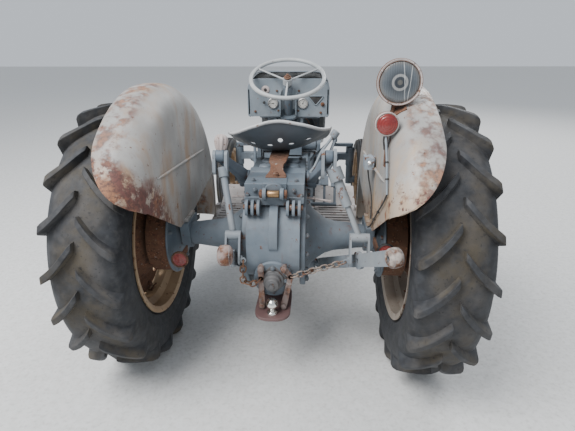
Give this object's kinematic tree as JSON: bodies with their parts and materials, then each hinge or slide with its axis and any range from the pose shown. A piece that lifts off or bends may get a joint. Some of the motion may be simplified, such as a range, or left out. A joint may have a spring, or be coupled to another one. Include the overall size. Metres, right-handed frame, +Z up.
{
  "type": "vintage farm tractor",
  "caption": "Small vintage farm tractor with open seat, mudguards, lugged rear tyres, rear lift linkage with check chains, tow ball and forward-tilting bonnet.",
  "frame": {"origin": "middle of the box on the ground, between the wheels", "axes": "+Z up, +Y the tractor's front, +X its right"},
  "size_m": [1.604, 2.723, 1.385],
  "materials": {
    "casting_paint": "worn blue-grey paint with rust streaks",
    "sheet_paint": "faded pale grey paint, chipped and rust stained",
    "bonnet_paint": "faded light grey paint",
    "link_paint": "brushed-on grey paint, worn at the joints",
    "rusty_steel": "rusted steel",
    "tow_paint": "brown primer, worn",
    "rim_paint": "old yellow-brown paint, rusted",
    "seat_paint": "worn grey paint",
    "tyre": "dusty black rubber with dried mud",
    "wheel_rim_grip": "worn light grey",
    "lamp_paint": "black enamel, worn",
    "lamp_glass": "clear ribbed glass",
    "red_lens": "red lens",
    "chrome": "tarnished chrome",
    "black_rubber": "black rubber",
    "engine_paint": "oily grey paint"
  },
  "bodies": {
    "root": {"rear_housing": "casting_paint", "lift_cover": "casting_paint", "axle_trumpets": "casting_paint", "gearbox": "casting_paint", "engine": "engine_paint", "exhaust": "rusty_steel", "radiator": "casting_paint", "front_support": "casting_paint", "front_axle": "casting_paint", "fender_left": "sheet_paint", "fender_right": "sheet_paint", "footrests": "casting_paint", "seat": "seat_paint", "seat_bracket": "rusty_steel", "steering_box": "casting_paint", "dash": "casting_paint", "fuel_tank": "casting_paint", "drawbar": "tow_paint", "top_link_rocker": "casting_paint", "lamps": "lamp_paint", "controls": "link_paint", "check_chains": "rusty_steel"},
    "lift_arms": {"lift_arms": "casting_paint"},
    "bonnet": {"bonnet": "bonnet_paint", "grille": "bonnet_paint"},
    "steering_wheel": {"steering_wheel": "wheel_rim_grip"},
    "lift_rod_left": {"lift_rod_left": "link_paint"},
    "lower_link_left": {"lower_link_left": "link_paint"},
    "drop_arm_left": {"drop_arm_left": "casting_paint"},
    "drag_link_left": {"drag_link_left": "casting_paint"},
    "knuckle_left": {"knuckle_left": "casting_paint"},
    "wheel_front_left": {"front_tyre_left": "tyre", "front_wheel_left": "rim_paint"},
    "wheel_rear_left": {"rear_tyre_left": "tyre", "rear_rim_left": "rim_paint", "rear_disc_left": "rusty_steel"},
    "lift_rod_right": {"lift_rod_right": "link_paint"},
    "lower_link_right": {"lower_link_right": "link_paint"},
    "drop_arm_right": {"drop_arm_right": "casting_paint"},
    "drag_link_right": {"drag_link_right": "casting_paint"},
    "knuckle_right": {"knuckle_right": "casting_paint"},
    "wheel_front_right": {"front_tyre_right": "tyre", "front_wheel_right": "rim_paint"},
    "wheel_rear_right": {"rear_tyre_right": "tyre", "rear_rim_right": "rim_paint", "rear_disc_right": "rusty_steel"}
  },
  "joints": [
    {"name": "rear_wheel_left_spin", "type": "hinge", "parent": "root", "child": "wheel_rear_left", "pos_m": [-0.66, -0.7615, 0.6], "axis": [1, 0, 0], "continuous": true},
    {"name": "rear_wheel_right_spin", "type": "hinge", "parent": "root", "child": "wheel_rear_right", "pos_m": [0.66, -0.7615, 0.6], "axis": [1, 0, 0], "continuous": true},
    {"name": "steer", "type": "hinge", "parent": "root", "child": "knuckle_left", "pos_m": [-0.47, 1.0165, 0.345], "axis": [0, 0, 1], "range_deg": [-32, 32]},
    {"name": "steer_right", "type": "hinge", "parent": "root", "child": "knuckle_right", "pos_m": [0.47, 1.0165, 0.345], "axis": [0, 0, 1], "range_deg": [-33, 33]},
    {"name": "steering_wheel_turn", "type": "hinge", "parent": "root", "child": "steering_wheel", "pos_m": [0, 0.0525, 1.247], "axis": [0, -0.4384, 0.8988], "range_deg": [-386, 386]},
    {"name": "front_wheel_left_spin", "type": "hinge", "parent": "knuckle_left", "child": "wheel_front_left", "pos_m": [-0.57, 1.0165, 0.345], "axis": [1, 0, 0], "continuous": true},
    {"name": "drop_arm_left_swing", "type": "hinge", "parent": "root", "child": "drop_arm_left", "pos_m": [-0.194, 0.1885, 0.825], "axis": [1, 0, 0], "range_deg": [-22, 22]},
    {"name": "drag_link_left_yaw", "type": "hinge", "parent": "knuckle_left", "child": "drag_link_left", "pos_m": [-0.34, 1.0165, 0.6865], "axis": [0, 0, 1], "range_deg": [-33, 33]},
    {"name": "front_wheel_right_spin", "type": "hinge", "parent": "knuckle_right", "child": "wheel_front_right", "pos_m": [0.57, 1.0165, 0.345], "axis": [1, 0, 0], "continuous": true},
    {"name": "drop_arm_right_swing", "type": "hinge", "parent": "root", "child": "drop_arm_right", "pos_m": [0.194, 0.1885, 0.825], "axis": [1, 0, 0], "range_deg": [-22, 22]},
    {"name": "drag_link_right_yaw", "type": "hinge", "parent": "knuckle_right", "child": "drag_link_right", "pos_m": [0.34, 1.0165, 0.6865], "axis": [0, 0, 1], "range_deg": [-33, 33]},
    {"name": "bonnet_tilt", "type": "hinge", "parent": "root", "child": "bonnet", "pos_m": [0, 1.1835, 0.622], "axis": [-1, 0, 0], "range_deg": [0, 75]},
    {"name": "lift", "type": "hinge", "parent": "root", "child": "lift_arms", "pos_m": [0, -0.6915, 0.85], "axis": [1, 0, 0], "range_deg": [0, 65], "deforming": ["check_chains"]},
    {"name": "lower_link_left_swing", "type": "hinge", "parent": "root", "child": "lower_link_left", "pos_m": [-0.205, -0.6115, 0.372], "axis": [1, 0, 0], "range_deg": [0, 32.13]},
    {"name": "lift_rod_left_swing", "type": "hinge", "parent": "lift_arms", "child": "lift_rod_left", "pos_m": [-0.225, -0.87075, 1.00041], "axis": [1, 0, 0], "range_deg": [-67.27, 0]},
    {"name": "lower_link_right_swing", "type": "hinge", "parent": "root", "child": "lower_link_right", "pos_m": [0.205, -0.6115, 0.372], "axis": [1, 0, 0], "range_deg": [0, 33.89]},
    {"name": "lift_rod_right_swing", "type": "hinge", "parent": "lift_arms", "child": "lift_rod_right", "pos_m": [0.225, -0.87075, 1.00041], "axis": [1, 0, 0], "range_deg": [-67.23, 0]}
  ],
  "couplings": [
    {"joint": "steer_right", "follows": "steer", "ratio": 1},
    {"joint": "steering_wheel_turn", "follows": "steer", "ratio": 12},
    {"joint": "drop_arm_left_swing", "follows": "steer", "ratio": 0.635},
    {"joint": "drag_link_left_yaw", "follows": "steer", "ratio": -1},
    {"joint": "drop_arm_right_swing", "follows": "steer", "ratio": -0.635},
    {"joint": "drag_link_right_yaw", "follows": "steer", "ratio": -1},
    {"joint": "lower_link_left_swing", "follows": "lift", "ratio": 0.479},
    {"joint": "lift_rod_left_swing", "follows": "lift", "ratio": -1.0195},
    {"joint": "lower_link_right_swing", "follows": "lift", "ratio": 0.506},
    {"joint": "lift_rod_right_swing", "follows": "lift", "ratio": -1.019}
  ]
}
